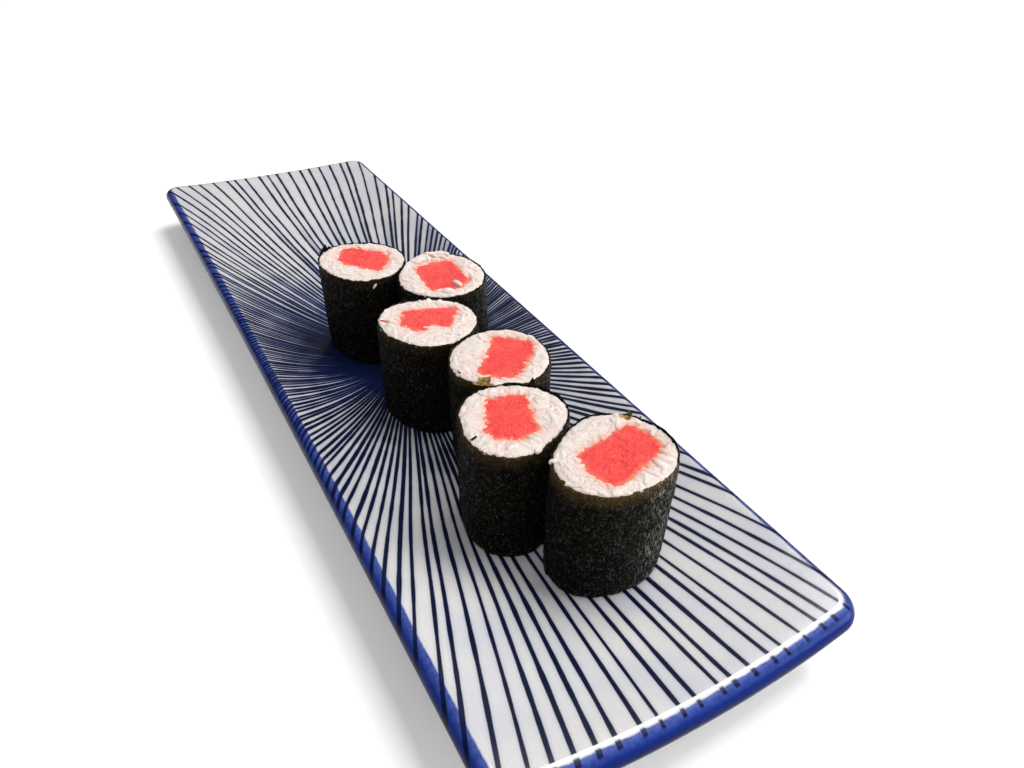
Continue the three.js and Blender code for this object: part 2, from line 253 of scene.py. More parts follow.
for share in np.linspace(1, UNDER_REACH, UNDER_RINGS + 1)[1:]:
    flat = shoulder * share
    thick = EDGE_THICKNESS + (FLOOR_THICKNESS - EDGE_THICKNESS) * (1 - share) * 2
    dish_rings.append(np.column_stack([flat, dish_top(*flat.T) - thick]))
    from_shoulder.append(math.pi * half_edge + (1 - share) * HALF_FACE)
# round the foot, where its clay is smoothed on: outwards is less than 0, and the
# second number is how far below the underside
for inset, drop in [(-2.4, 0.0), (-1.2, 0.7)]:
    ring = foot_outline(inset)
    dish_rings.append(np.column_stack([ring, dish_top(*ring.T) - FLOOR_THICKNESS - drop]))
    from_shoulder.append(FOOT_MARK + inset)
# the foot ring itself, inwards from its outside, and the height there
foot_profile = [(-0.5, 3.2), (-0.1, 1.6), (0.1, 0.9), (0.4, 0.35), (0.9, 0.0),
                (FOOT_RING - 0.9, 0.0), (FOOT_RING - 0.3, 0.5), (FOOT_RING, 1.4),
                (FOOT_RING + 0.6, FOOT_RECESS), (FOOT_RING + 6, FOOT_RECESS), (FOOT_RING + 15, FOOT_RECESS)]
for inset, height in foot_profile:
    ring = foot_outline(inset)
    dish_rings.append(np.column_stack([ring, np.full(len(ring), height)]))
    from_shoulder.append(FOOT_MARK + inset)
dish_rings = np.stack(dish_rings)
dish_mesh = joined("plate_glazed", [skin(dish_rings, (0, 0, dish_top(0, 0)), (0, 0, FOOT_RECESS))],
                   from_shoulder=np.append(np.repeat(from_shoulder, dish_rings.shape[1]), [-HALF_FACE, 100]))


class Shade:
    """A material's node tree with short calls for the nodes that it needs."""

    def __init__(self, name):
        self.material = bpy.data.materials.new(name)
        self.material.use_nodes = True
        self.tree = self.material.node_tree
        self.body = self.tree.nodes["Principled BSDF"]

    def node(self, kind, settings=None, **inputs):
        made = self.tree.nodes.new(kind)
        for key, value in (settings or {}).items():
            setattr(made, key, value)
        for key, value in inputs.items():
            self.feed(made.inputs[key.replace("_", " ")], value)
        return made

    def feed(self, socket, value):
        if hasattr(value, "is_output"):
            self.tree.links.new(value, socket)
        elif isinstance(value, tuple) and len(value) == 3 and socket.type == "RGBA":
            socket.default_value = (*value, 1.0)
        else:
            socket.default_value = value

    def work_out(self, operation, *values):
        made = self.tree.nodes.new("ShaderNodeMath")
        made.operation = operation
        for socket, value in zip(made.inputs, values):
            self.feed(socket, value)
        return made.outputs[0]

    def plus(self, first, second):
        return self.work_out("ADD", first, second)

    def less(self, first, second):
        return self.work_out("SUBTRACT", first, second)

    def times(self, first, second):
        return self.work_out("MULTIPLY", first, second)

    def band(self, value, low, high, out_low=0.0, out_high=1.0):
        """A smooth step from out_low to out_high as value goes from low to high."""
        made = self.node("ShaderNodeMapRange", {"interpolation_type": "SMOOTHSTEP"}, Value=value)
        ends = {"From Min": low, "From Max": high, "To Min": out_low, "To Max": out_high}
        for key, number in ends.items():
            self.feed(made.inputs[key], number)
        return made.outputs["Result"]

    def mix(self, share, first, second):
        made = self.tree.nodes.new("ShaderNodeMix")
        made.data_type = "RGBA"
        self.feed(made.inputs[0], share)
        self.feed(made.inputs[6], first)
        self.feed(made.inputs[7], second)
        return made.outputs[2]

    def noise(self, where, scale, detail=3.0, rough=0.55):
        made = self.node("ShaderNodeTexNoise", Vector=where, Scale=scale, Detail=detail, Roughness=rough)
        return made.outputs["Fac"]

    def place(self, scale=(1.0, 1.0, 1.0), shift=(0.0, 0.0, 0.0)):
        """Object coordinates, moved and then scaled: 1000 makes them millimetres,
        and less than that on one axis draws a pattern out along it."""
        spot = self.node("ShaderNodeTexCoord").outputs["Object"]
        made = self.node("ShaderNodeMapping", Vector=spot)
        made.inputs["Location"].default_value = tuple(s * f for s, f in zip(scale, shift))
        made.inputs["Scale"].default_value = scale
        return made.outputs["Vector"]

    def value(self, name):
        return self.node("ShaderNodeAttribute", {"attribute_name": name}).outputs["Fac"]

    def bump(self, height, strength, distance):
        made = self.node("ShaderNodeBump", Height=height)
        made.inputs["Strength"].default_value = strength
        made.inputs["Distance"].default_value = distance
        self.tree.links.new(made.outputs["Normal"], self.body.inputs["Normal"])

    def set(self, **inputs):
        for key, value in inputs.items():
            self.feed(self.body.inputs[key.replace("_", " ")], value)


# Glaze over drawn lines. In millimetres about the lines' middle, a line's number
# is its share of the full turn, and each number draws its own offset and width,
# so the strokes are as uneven as a brush leaves them. A blue wash runs in the gaps.
LINE_COUNT = 204
LINE_CENTRE = (5.55, 2.3)
LINE_WIDTH = 1.02
LINE_STRAY = 0.40  # of the space between two lines
WASH_FULL, WASH_OUT = 32.0, 96.0
WASH_LEAN, WASH_UNEVEN, WASH_CLOUDY = 0.40, 34.0, 18.0  # it strays towards -X, by gap and by cloud
BAND_WIDTH = 8.6
COOL_WHITE, WARM_WHITE, GREY_SPECK = (0.43, 0.43, 0.46), (0.49, 0.48, 0.465), (0.33, 0.33, 0.38)
INK_MIDDLE, INK_OUTSIDE, INK_ON_BAND = (0.0045, 0.009, 0.040), (0.0035, 0.006, 0.024), (0.0015, 0.0025, 0.016)
WASH_BLUE = (0.018, 0.042, 0.165)
# the band's colours hold painted light and shade: pale where the rounded edge faces up, navy where it turns
# down
BAND_LIT_PALE, BAND_BLUE, BAND_SHADED_NAVY = (0.052, 0.084, 0.30), (0.0045, 0.019, 0.165), (0.0015, 0.0035, 0.045)
BAND_STREAK = (0.009, 0.018, 0.125)
# painted shade: the far long side's band colours, dark with blue streaks
FAR_BAND_SHADE, FAR_BAND_BLUE = (0.010, 0.013, 0.040), (0.050, 0.060, 0.20)
# painted highlight: the white of a thin reflection line on the near end's shoulder
HIGHLIGHT_WHITE = (0.90, 0.90, 0.90)
UNDER_COOL, UNDER_WARM, BARE_CLAY = (0.55, 0.55, 0.56), (0.62, 0.61, 0.60), (0.34, 0.27, 0.20)

glaze = Shade("blue_lined_glaze")
spot = glaze.place((1000.0, 1000.0, 1000.0), (-LINE_CENTRE[0] * MM, -LINE_CENTRE[1] * MM, 0.0))
axes = glaze.node("ShaderNodeSeparateXYZ", Vector=spot)
along, across = axes.outputs[0], axes.outputs[1]
reach = glaze.work_out("SQRT", glaze.plus(glaze.times(along, along), glaze.times(across, across)))
sway = glaze.times(glaze.less(glaze.noise(spot, 0.016, 1.0), 0.5), 0.022)
heading = glaze.plus(glaze.work_out("ARCTAN2", across, along), sway)
turn_share = glaze.times(glaze.plus(heading, math.pi), LINE_COUNT / (2 * math.pi))

line_draw = glaze.node("ShaderNodeTexWhiteNoise", {"noise_dimensions": "1D"},
                       W=glaze.work_out("FLOOR", turn_share))
line_draws = glaze.node("ShaderNodeSeparateColor", Color=line_draw.outputs["Color"])
offset = glaze.times(glaze.less(line_draws.outputs[0], 0.5), LINE_STRAY)
off_line = glaze.less(glaze.less(glaze.work_out("FRACT", turn_share), 0.5), offset)
from_line = glaze.times(glaze.times(glaze.work_out("ABSOLUTE", off_line), 2 * math.pi / LINE_COUNT), reach)
half_width = glaze.times(glaze.plus(glaze.times(line_draws.outputs[1], 0.36), 0.82), LINE_WIDTH / 2)
brushed = glaze.times(half_width, glaze.band(glaze.noise(spot, 0.11, 1.0), 0.3, 0.7, 0.86, 1.14))
past_line = glaze.less(from_line, brushed)
line = glaze.less(1.0, glaze.band(past_line, -0.12, 0.16))
halo = glaze.band(past_line, 0.0, 1.0, 0.16, 0.0)

gap_draw = glaze.node("ShaderNodeTexWhiteNoise", {"noise_dimensions": "1D"},
                      W=glaze.work_out("FLOOR", glaze.plus(turn_share, 0.5)))
drift = glaze.plus(glaze.times(along, WASH_LEAN), glaze.times(gap_draw.outputs["Value"], WASH_UNEVEN))
wash_way = glaze.plus(glaze.plus(reach, drift), glaze.times(glaze.noise(spot, 0.05, 2.0), WASH_CLOUDY))
wash = glaze.band(wash_way, WASH_FULL, WASH_OUT, 1.0, 0.0)

cloud = glaze.noise(spot, 0.06, 3.0)
speck = glaze.noise(spot, 2.4, 2.0)
white = glaze.mix(glaze.band(cloud, 0.3, 0.7), COOL_WHITE, WARM_WHITE)
white = glaze.mix(glaze.band(speck, 0.52, 0.74, 0.0, 0.30), white, GREY_SPECK)
white = glaze.mix(glaze.work_out("MAXIMUM", wash, halo), white, WASH_BLUE)
ink = glaze.mix(glaze.band(reach, 20.0, 70.0), INK_MIDDLE, INK_OUTSIDE)
painted = glaze.mix(line, white, ink)

# the blue band round the rim, with painted shade: paler where the rounded edge
# faces up and darker navy outwards as it turns down; the lines run as short
# stubs on the near end's band and right over the near side's
edge_way = glaze.value("from_shoulder")
edge_soft = glaze.plus(edge_way, glaze.times(glaze.less(glaze.noise(spot, 0.3, 2.0), 0.5), 0.7))
on_band = glaze.times(glaze.band(edge_soft, 0.0, 0.5),
                      glaze.band(edge_soft, BAND_WIDTH, BAND_WIDTH + 1, 1.0, 0.0))
streaks = glaze.noise(spot, 0.8, 3.0, 0.6)
cobalt_and_shade = glaze.mix(glaze.band(edge_soft, 0.3, 3.4), BAND_LIT_PALE, BAND_BLUE)
cobalt_and_shade = glaze.mix(glaze.band(edge_soft, 2.6, 5.2), cobalt_and_shade, BAND_SHADED_NAVY)
cobalt_and_shade = glaze.mix(glaze.band(streaks, 0.40, 0.66, 0.0, 0.45), cobalt_and_shade, BAND_STREAK)
# painted shade: on the far long side the band is painted dark, streaked with blue, for the shade of that
# turned-away rim
far_side = glaze.band(across, 42.5, 44.5)
far_shaded_band = glaze.mix(glaze.band(streaks, 0.35, 0.6), FAR_BAND_SHADE, FAR_BAND_BLUE)
cobalt_and_shade = glaze.mix(far_side, cobalt_and_shade, far_shaded_band)
past_stub = glaze.times(glaze.band(along, 154.0, 156.0), glaze.band(edge_soft, 1.3, 2.1, 0.0, 0.9))
cobalt_and_shade = glaze.mix(glaze.times(line, glaze.less(0.9, past_stub)), cobalt_and_shade, INK_ON_BAND)
not_far = glaze.work_out("MAXIMUM", glaze.less(1.0, far_side), glaze.band(edge_soft, 0.1, 0.7))
on_band = glaze.times(on_band, not_far)
painted = glaze.mix(on_band, painted, cobalt_and_shade)

# painted highlight: a thin white line where the near end's face turns over into the band
highlight_line = glaze.times(glaze.band(edge_way, -0.36, -0.24), glaze.band(edge_way, -0.25, 0.1, 0.92, 0.0))
painted = glaze.mix(glaze.times(glaze.band(along, 150.0, 154.0), highlight_line), painted, HIGHLIGHT_WHITE)

# the plain underside, and the foot ring's bare clay where it stands
under = glaze.mix(glaze.band(cloud, 0.3, 0.7), UNDER_COOL, UNDER_WARM)
painted = glaze.mix(glaze.band(edge_way, 9.8, 11.0), painted, under)
clay = glaze.times(glaze.band(edge_way, FOOT_MARK - 0.1, FOOT_MARK + 0.6),
                   glaze.band(edge_way, FOOT_MARK + 5.2, FOOT_MARK + 5.9, 1.0, 0.0))
painted = glaze.mix(clay, painted, BARE_CLAY)
glossy = glaze.band(cloud, 0.3, 0.7, 0.16, 0.27)
glaze.set(Base_Color=painted, IOR=1.5, Roughness=glaze.work_out("MAXIMUM", glossy, glaze.times(clay, 0.75)),
          Specular_IOR_Level=glaze.less(0.18, glaze.times(on_band, 0.13)))
uneven = glaze.plus(glaze.times(glaze.noise(spot, 0.12, 2.0), 0.6), glaze.times(speck, 0.05))
glaze.bump(uneven, 0.35, 0.0006)
piece_from(dish_mesh, glaze.material, "plate", "plate")

# The six rolls: a half sheet of nori rolled round rice and a strip of raw tuna,
# cut into short lengths and stood on end. They lean a little with the dish, and
# their soft bottoms follow it. Lengths are in millimetres and headings in degrees.
TOP_HEIGHT = 32.7
REST_GAP = 0.15
FOOT_TAPER, BELLY = 0.965, 0.048
LEAN, SLOPE_SPAN = 0.35, 8.0
ROLLS = [
    dict(place=(-7.64, -8), foot=(0.6, 1.9), r=14.75, oval=(0.016, 27), lobe=(0.027, -19),
         tuna=[(-12.7, -2), (-2.9, 10.3), (3.8, 9), (11.3, 2.8), (0.8, -7), (-4.2, -8.2)],
         lift=[(-140, 9, 1.6)]),
    dict(place=(15, 13.74), foot=(0, 0), r=14.65, oval=(0.027, 7), lobe=(0.021, 30),
         tuna=[(-9.8, -6.1), (-9.9, 2.7), (-8.2, 7.5), (8.2, 6.7), (11.8, 1.2), (8.2, -8.4)], lift=[]),
    dict(place=(39.16, -4.21), foot=(-0.55, 1.05), r=14.65, oval=(0.04, 59), lobe=(0.029, -19),
         tuna=[(-9.3, -4.5), (-5.3, 10.7), (-2, 11.1), (6.9, 4.2), (3.1, -0.3), (5.9, -4.6), (-1.1, -9.5)],
         lift=[]),
    dict(place=(67.09, 6.1), foot=(0, 0), r=14.5, oval=(0.008, -24), lobe=(0.023, 23),
         tuna=[(-11, 3.7), (-3.3, 12.2), (0.8, 11.9), (11.5, 0.3), (10.7, -5), (4.3, -9.9)], lift=[]),
    dict(place=(94.5, -6.43), foot=(1.4, -0.15), r=14.6, oval=(0.062, -50), lobe=(0.051, -36),
         tuna=[(-10.2, -2.8), (-8, 8.4), (8.2, 3.6), (9.2, -3.3), (6.4, -9.1), (1.6, -9.4), (-1.4, -7.2)],
         lift=[(134, 22, 0.9)]),
    dict(place=(119.2, 7.87), foot=(-0.1, -1.75), r=15.0, oval=(0.059, -68), lobe=(0.042, 46),
         tuna=[(-3.9, -8.7), (-6, 0.7), (-7.7, 10), (-0.8, 12.3), (4.5, 11.6), (9.2, -0.3), (10.5, -7.3),
               (3.9, -9.7)],
         lift=[(88, 26, 0.9)]),
]


def standing(roll):
    """The middle of a roll's bottom and its three axes, with up leaning by a share
    of the dish's slope, taken over a short span each way."""
    x, y = roll["place"]
    e = SLOPE_SPAN
    heights = [dish_top(x + e, y), dish_top(x - e, y), dish_top(x, y + e), dish_top(x, y - e)]
    slopes = [(heights[0] - heights[1]) / (2 * e), (heights[2] - heights[3]) / (2 * e)]
    up = np.array([-LEAN * slopes[0], -LEAN * slopes[1], 1])
    up /= np.linalg.norm(up)
    along = np.cross((0, 1, 0), up)
    along /= np.linalg.norm(along)
    return np.array([x, y, np.mean(heights)]), along, np.cross(up, along), up


def stood_up(roll, local):
    """Points in a roll's own axes taken to the dish's, the foot slid aside by a
    share that fades out towards the top."""
    middle, along, across, up = standing(roll)
    slide = 1 - local[..., 2:] / TOP_HEIGHT
    return (middle + (local[..., :1] + slide * roll["foot"][0]) * along
            + (local[..., 1:2] + slide * roll["foot"][1]) * across + local[..., 2:] * up)


def bottom_height(roll, x, y):
    """Height, in the roll's own axes, at which it just clears the dish."""
    middle, along, across, up = standing(roll)
    p = (middle + (np.asarray(x)[..., None] + roll["foot"][0]) * along
         + (np.asarray(y)[..., None] + roll["foot"][1]) * across)
    return (dish_top(p[..., 0], p[..., 1]) - p[..., 2]) / up[2] + REST_GAP


def roll_radius(roll, a, share):
    """Outer radius at heading a and share of the height: a circle with an oval and
    a three-cornered part, a little narrower at the foot and fuller at mid height."""
    oval = 1 + roll["oval"][0] * np.cos(2 * (a - math.radians(roll["oval"][1])))
    lobe = roll["lobe"][0] * np.cos(3 * (a - math.radians(roll["lobe"][1])))
    girth = FOOT_TAPER + (1 - FOOT_TAPER) * share + BELLY * share * (1 - share)
    return roll["r"] * (oval + lobe) * girth


def ripple(points, size, seed, count=28):
    """Smooth random field between about -1 and 1: a sum of plane waves in random
    headings, with lengths spread round the given size."""
    draw = np.random.default_rng(seed)
    ways = draw.normal(size=(count, points.shape[-1]))
    ways /= np.linalg.norm(ways, axis=1, keepdims=True)
    ways *= (2 * math.pi / (size * draw.uniform(0.6, 1.7, count)))[:, None]
    return np.cos(points @ ways.T + draw.uniform(0, 2 * math.pi, count)).sum(-1) / math.sqrt(count)


# Nori: a thin sheet of pressed seaweed, crinkled by the damp rice, its cut edge
# a little torn, its end lapped over on itself at the back of each roll. Small
# flakes of it have torn loose at the knife and cling to the rims.
NORI_THICKNESS = 0.45
NORI_COLUMNS, NORI_ROWS = 300, 70
LAP_HEADING, LAP_SPAN, LAP_CLIMB = 2.2, 0.7, 0.25  # these three in radians
LAP_RISE = 0.34
# where the painted sheen lies: the roll, and its heading and spread in degrees
SHEEN_ROLL, SHEEN_HEADING, SHEEN_SPREAD = 5, 22, 20  # rolls are counted from 0 here
FLAKE_COLUMNS, FLAKE_THICKNESS = 26, 0.22
SHEET_BLACK, SHEET_OLIVE = (0.0012, 0.0010, 0.0007), (0.0085, 0.0064, 0.0030)
SHEET_FLECK = (0.034, 0.028, 0.013)
# the first colour on the next line is painted light: light shining through the thin sheet near its rim
LIT_THROUGH, DRY_DARK, DRY_TAN = (0.115, 0.070, 0.018), (0.15, 0.080, 0.016), (0.52, 0.345, 0.115)
# painted sheen: the pale colour of glints on one roll's side
SHEEN_PALE = (0.33, 0.33, 0.29)
LIGHT_THROUGH_SHARE = (0.12, 0.15, 0.30, 0.55, 0.60, 1.0)  # how far light comes through each rim
# roll, place in its own axes, heading and tip, length, width, and how dry and tan
FLAKES = [
    (0, (-11.7, -8.3, 33.3), -140, 45, 3.2, 2.4, 0.0), (0, (-12.9, -6.4, 33.0), -120, 20, 2.6, 1.6, 0.0),
    (0, (-9.3, -10.6, 33.0), -120, 30, 2.4, 1.4, 0.0),
    (3, (9.6, -10.3, 33.35), 78, 10, 5.0, 2.2, 1.0), (3, (8.4, -9.4, 33.6), 50, 10, 2.8, 1.5, 1.0),
    (3, (11.3, -9.2, 33.3), 20, 14, 2.6, 1.4, 0.8), (3, (2.2, -13.2, 33.3), -80, 30, 2.4, 1.2, 0.0),
    (4, (3.9, -12.8, 33.3), 102, 4, 1.9, 0.6, 0.0), (4, (-9.5, 11.0, 33.4), 134, 40, 3.4, 1.5, 0.0),
    (5, (-9.6, 10.0, 33.25), 35, 4, 3.0, 1.7, 1.0), (5, (-10.5, 11.7, 32.85), 120, 10, 2.2, 1.5, 0.35),
    (5, (-7.5, 12.4, 32.8), 118, 12, 2.2, 1.3, 0.1),
]

nori_sheet = Shade("pressed_seaweed")
spot = nori_sheet.place((1000.0, 1000.0, 1000.0))
patches = nori_sheet.noise(spot, 0.75, 4.0, 0.65)
flecks = nori_sheet.noise(spot, 2.3, 4.0, 0.7)
fibres = nori_sheet.noise(nori_sheet.place((1000.0, 1000.0, 760.0)), 1.7, 5.0, 0.75)
sheen_streaks = nori_sheet.noise(nori_sheet.place((1000.0, 1000.0, 260.0)), 2.0, 4.0, 0.7)
colour = nori_sheet.mix(nori_sheet.band(patches, 0.40, 0.70), SHEET_BLACK, SHEET_OLIVE)
colour = nori_sheet.mix(nori_sheet.band(flecks, 0.54, 0.70, 0.0, 0.85), colour, SHEET_FLECK)
# painted light: near the top of each rim, mostly on its near side, light shining through the thin sheet is
# painted into its colour
thinness = nori_sheet.times(nori_sheet.value("thin"), nori_sheet.band(flecks, 0.30, 0.58))
colour = nori_sheet.mix(thinness, colour, LIT_THROUGH)
dry = nori_sheet.mix(nori_sheet.band(patches, 0.35, 0.65), DRY_DARK, DRY_TAN)
colour = nori_sheet.mix(nori_sheet.value("tan"), colour, dry)
# painted sheen: pale streaks on one roll's right side, for light glinting off the crinkles
painted_sheen = nori_sheet.times(nori_sheet.value("creased"), nori_sheet.band(sheen_streaks, 0.52, 0.64))
colour = nori_sheet.mix(painted_sheen, colour, SHEEN_PALE)
glints = nori_sheet.times(nori_sheet.band(fibres, 0.50, 0.66),
                          nori_sheet.band(patches, 0.42, 0.60, 0.15, 1.0))
nori_sheet.set(Base_Color=colour, Roughness=nori_sheet.band(fibres, 0.45, 0.68, 0.60, 0.30),
               Specular_IOR_Level=nori_sheet.plus(glints, 0.03))
nori_sheet.bump(nori_sheet.plus(fibres, nori_sheet.times(flecks, 0.6)), 1.0, 0.0008)


def flake(place, heading, tip, length, width, seed):
    """A torn scrap: a disc of rings stretched to length by width with a ragged
    outline, cupped along its length, tipped up and turned to its heading, and
    closed by the same rings a little below."""
    u = np.arange(FLAKE_COLUMNS) / FLAKE_COLUMNS * 2 * math.pi
    ragged = 1 + 0.18 * ripple(np.stack([np.cos(u), np.sin(u)], 1), 0.9, seed)
    front = []
    for share in (0.35, 0.7, 0.95, 1.0):
        x = np.cos(u) * ragged * share * length / 2
        y = np.sin(u) * ragged * share * width / 2
        waves = 0.05 * ripple(np.stack([x, y], 1), 1.2, seed + 1)
        front.append(np.stack([x, y, 0.16 * x * x - 0.10 * y * y + waves], 1))
    front = np.array(front)
    rings = np.concatenate([front, front[::-1] - (0, 0, FLAKE_THICKNESS)])
    c, t = math.radians(heading), math.radians(tip)
    tipped = np.array([[math.cos(t), 0, math.sin(t)], [0, 1, 0], [-math.sin(t), 0, math.cos(t)]])
    turned = np.array([[math.cos(c), math.sin(c), 0], [-math.sin(c), math.cos(c), 0], [0, 0, 1]])
    poles = np.array([[0, 0, 0], [0, 0, -FLAKE_THICKNESS]])
    points, faces = skin(rings @ tipped @ turned, *(poles @ tipped @ turned))
    return points + place, faces


turn = np.arange(NORI_COLUMNS) / NORI_COLUMNS * 2 * math.pi
circle = np.stack([np.cos(turn), np.sin(turn)], 1)
# the near side of each rim lies a little lower, where the rice swells over it
facing = np.cos(turn - math.radians(-40))
for index, roll in enumerate(ROLLS):
    wave = circle * roll["r"]
    torn = 0.13 * ripple(wave, 7.0, 31 + index) + 0.08 * ripple(wave, 1.4, 41 + index)
    lip = TOP_HEIGHT + 0.12 - 0.26 * facing + torn
    for lift_heading, spread, height in roll["lift"]:
        off = (np.degrees(turn) - lift_heading + 180) % 360 - 180
        lip = lip + height * np.exp(-(off / spread) ** 2) * (0.8 + 0.2 * ripple(wave, 2.0, 47 + index))
    lip = np.minimum(lip, TOP_HEIGHT + max([0.45] + [height - 0.05 for _, _, height in roll["lift"]]))
    low = bottom_height(roll, *(circle * roll_radius(roll, turn, 0)[:, None] * 0.99).T)
    # the lap: the outer layer climbs over the inner one and stops at a clean step
    into_lap = (turn - LAP_HEADING - 0.35 * index) % (2 * math.pi)
    lap = np.where(into_lap < LAP_SPAN, np.minimum(into_lap / LAP_CLIMB, 1), 0) * LAP_RISE
    rows = []
    for share in np.linspace(0, 1, NORI_ROWS):
        level = low + (lip - low) * share
        spots = np.column_stack([wave, np.full(len(turn), share * 33)])
        crinkle = 0.10 * ripple(spots, 4.0, 51 + index) + 0.06 * ripple(spots, 1.7, 61 + index)
        tuck = 0.35 * max(0.0, 1 - share / 0.06) ** 2 + 0.14 * max(0.0, (share - 0.96) / 0.04)
        r = roll_radius(roll, turn, share) - 0.16 + crinkle + lap - tuck
        rows.append(np.column_stack([circle * r[:, None], level]))
    outer = np.array(rows)
    inner = outer[::-7].copy()
    inner[..., :2] *= (1 - NORI_THICKNESS / np.linalg.norm(inner[..., :2], axis=-1, keepdims=True))
    sheet = np.concatenate([outer, inner])
    # painted light: how much of the light-through colour each point of the sheet takes, more on some rolls
    # than others
    near_rim = np.clip((np.linspace(0, 1, NORI_ROWS)[:, None] - 0.87) / 0.13, 0, 1) ** 1.3
    thin = np.zeros(sheet.shape[:2])
    thin[:NORI_ROWS] = near_rim * np.clip(0.3 + 0.9 * facing, 0, 1) * LIGHT_THROUGH_SHARE[index]
    # painted sheen: pale streaks on the last roll's right side stand in for glints of light on its crinkled
    # sheet
    aside = (np.degrees(turn) - SHEEN_HEADING + 180) % 360 - 180
    creased = np.exp(-(aside / SHEEN_SPREAD) ** 2) * np.ones((len(sheet), 1)) * (index == SHEEN_ROLL)
    parts = [skin(stood_up(roll, sheet)[::-1], closed=True)]
    thin_parts = [thin[::-1].ravel()]
    tan_parts = [np.zeros(thin.size)]
    creased_parts = [creased[::-1].ravel()]
    for number, (owner, place, heading, tip, length, width, tan) in enumerate(FLAKES):
        if owner == index:
            points, faces = flake(place, heading, tip, length, width, 201 + 2 * number)
            parts.append((stood_up(roll, points), faces))
            thin_parts.append(np.zeros(len(points)))
            tan_parts.append(np.full(len(points), tan))
            creased_parts.append(np.zeros(len(points)))
    mesh = joined(f"nori_{index + 1}_sheet", parts, thin=np.concatenate(thin_parts),
                  tan=np.concatenate(tan_parts), creased=np.concatenate(creased_parts))
    piece_from(mesh, nori_sheet.material, "nori", f"nori_{index + 1}")

# Tuna: a raw strip cut from the block, with square-ish sides. It runs through the
# whole roll, and the rice has pressed small dents into its edges.
TUNA_COLUMNS = 200
STRIP_PROUD = 0.30
OUTLINE_STEPS, SMOOTHED_STEPS, SMOOTHING = 720, 24, 9.0
THREAD_ROLL = 2
DEEP_RED, CLEAR_RED, EDGE_PINK = (0.80, 0.040, 0.038), (0.86, 0.062, 0.052), (0.92, 0.27, 0.15)
PALE_GRAIN, DARK_GRAIN = (0.97, 0.25, 0.20), (0.64, 0.032, 0.027)

tuna_flesh = Shade("raw_tuna")
spot = tuna_flesh.place((1000.0, 1000.0, 1000.0))
grainy = tuna_flesh.noise(spot, 2.5, 4.0, 0.7)
cloudy = tuna_flesh.noise(spot, 0.22, 2.0)
fine = tuna_flesh.noise(tuna_flesh.place((1000.0, 650.0, 1000.0)), 3.2, 2.0, 0.6)
colour = tuna_flesh.mix(tuna_flesh.band(cloudy, 0.35, 0.65), DEEP_RED, CLEAR_RED)
colour = tuna_flesh.mix(tuna_flesh.band(grainy, 0.52, 0.68, 0.0, 0.75), colour, PALE_GRAIN)
colour = tuna_flesh.mix(tuna_flesh.band(grainy, 0.28, 0.42, 0.5, 0.0), colour, DARK_GRAIN)
at_edge = tuna_flesh.band(tuna_flesh.value("fringe"), 0.0, 1.0, 0.0, 0.80)
colour = tuna_flesh.mix(at_edge, colour, EDGE_PINK)
tuna_flesh.set(Base_Color=colour, Roughness=0.27, Subsurface_Weight=0.25, Subsurface_Scale=0.002)
tuna_flesh.body.inputs["Subsurface Radius"].default_value = (1.0, 0.25, 0.2)
tuna_flesh.bump(tuna_flesh.plus(grainy, tuna_flesh.times(fine, 0.7)), 0.9, 0.0006)


def strip_reach(roll, a):
    """The strip's middle, and the distance from it to the outline at each heading:
    the ray's crossing with the polygon of its corners, smoothed round the turn."""
    corners = np.array(roll["tuna"], float)
    middle = corners.mean(0)
    fine_turn = np.arange(OUTLINE_STEPS) / OUTLINE_STEPS * 2 * math.pi
    ray = np.stack([np.cos(fine_turn), np.sin(fine_turn)], 1)[:, None]
    start = (corners - middle)[None]
    side = np.roll(corners, -1, 0)[None] - corners[None]
    cross = ray[..., 0] * side[..., 1] - ray[..., 1] * side[..., 0]
    distance = (start[..., 0] * side[..., 1] - start[..., 1] * side[..., 0]) / cross
    share = (start[..., 0] * ray[..., 1] - start[..., 1] * ray[..., 0]) / cross
    hit = np.where((share >= -1e-9) & (share <= 1 + 1e-9) & (distance > 0), distance, -1).max(1)
    weights = np.exp(-0.5 * (np.arange(-SMOOTHED_STEPS, SMOOTHED_STEPS + 1) / SMOOTHING) ** 2)
    padded = np.concatenate([hit[-SMOOTHED_STEPS:], hit, hit[:SMOOTHED_STEPS]])
    smooth = np.convolve(padded, weights / weights.sum(), "valid")
    whole_turn = np.append(fine_turn, 2 * math.pi)
    return middle, np.interp(a % (2 * math.pi), whole_turn, np.append(smooth, smooth[0]))


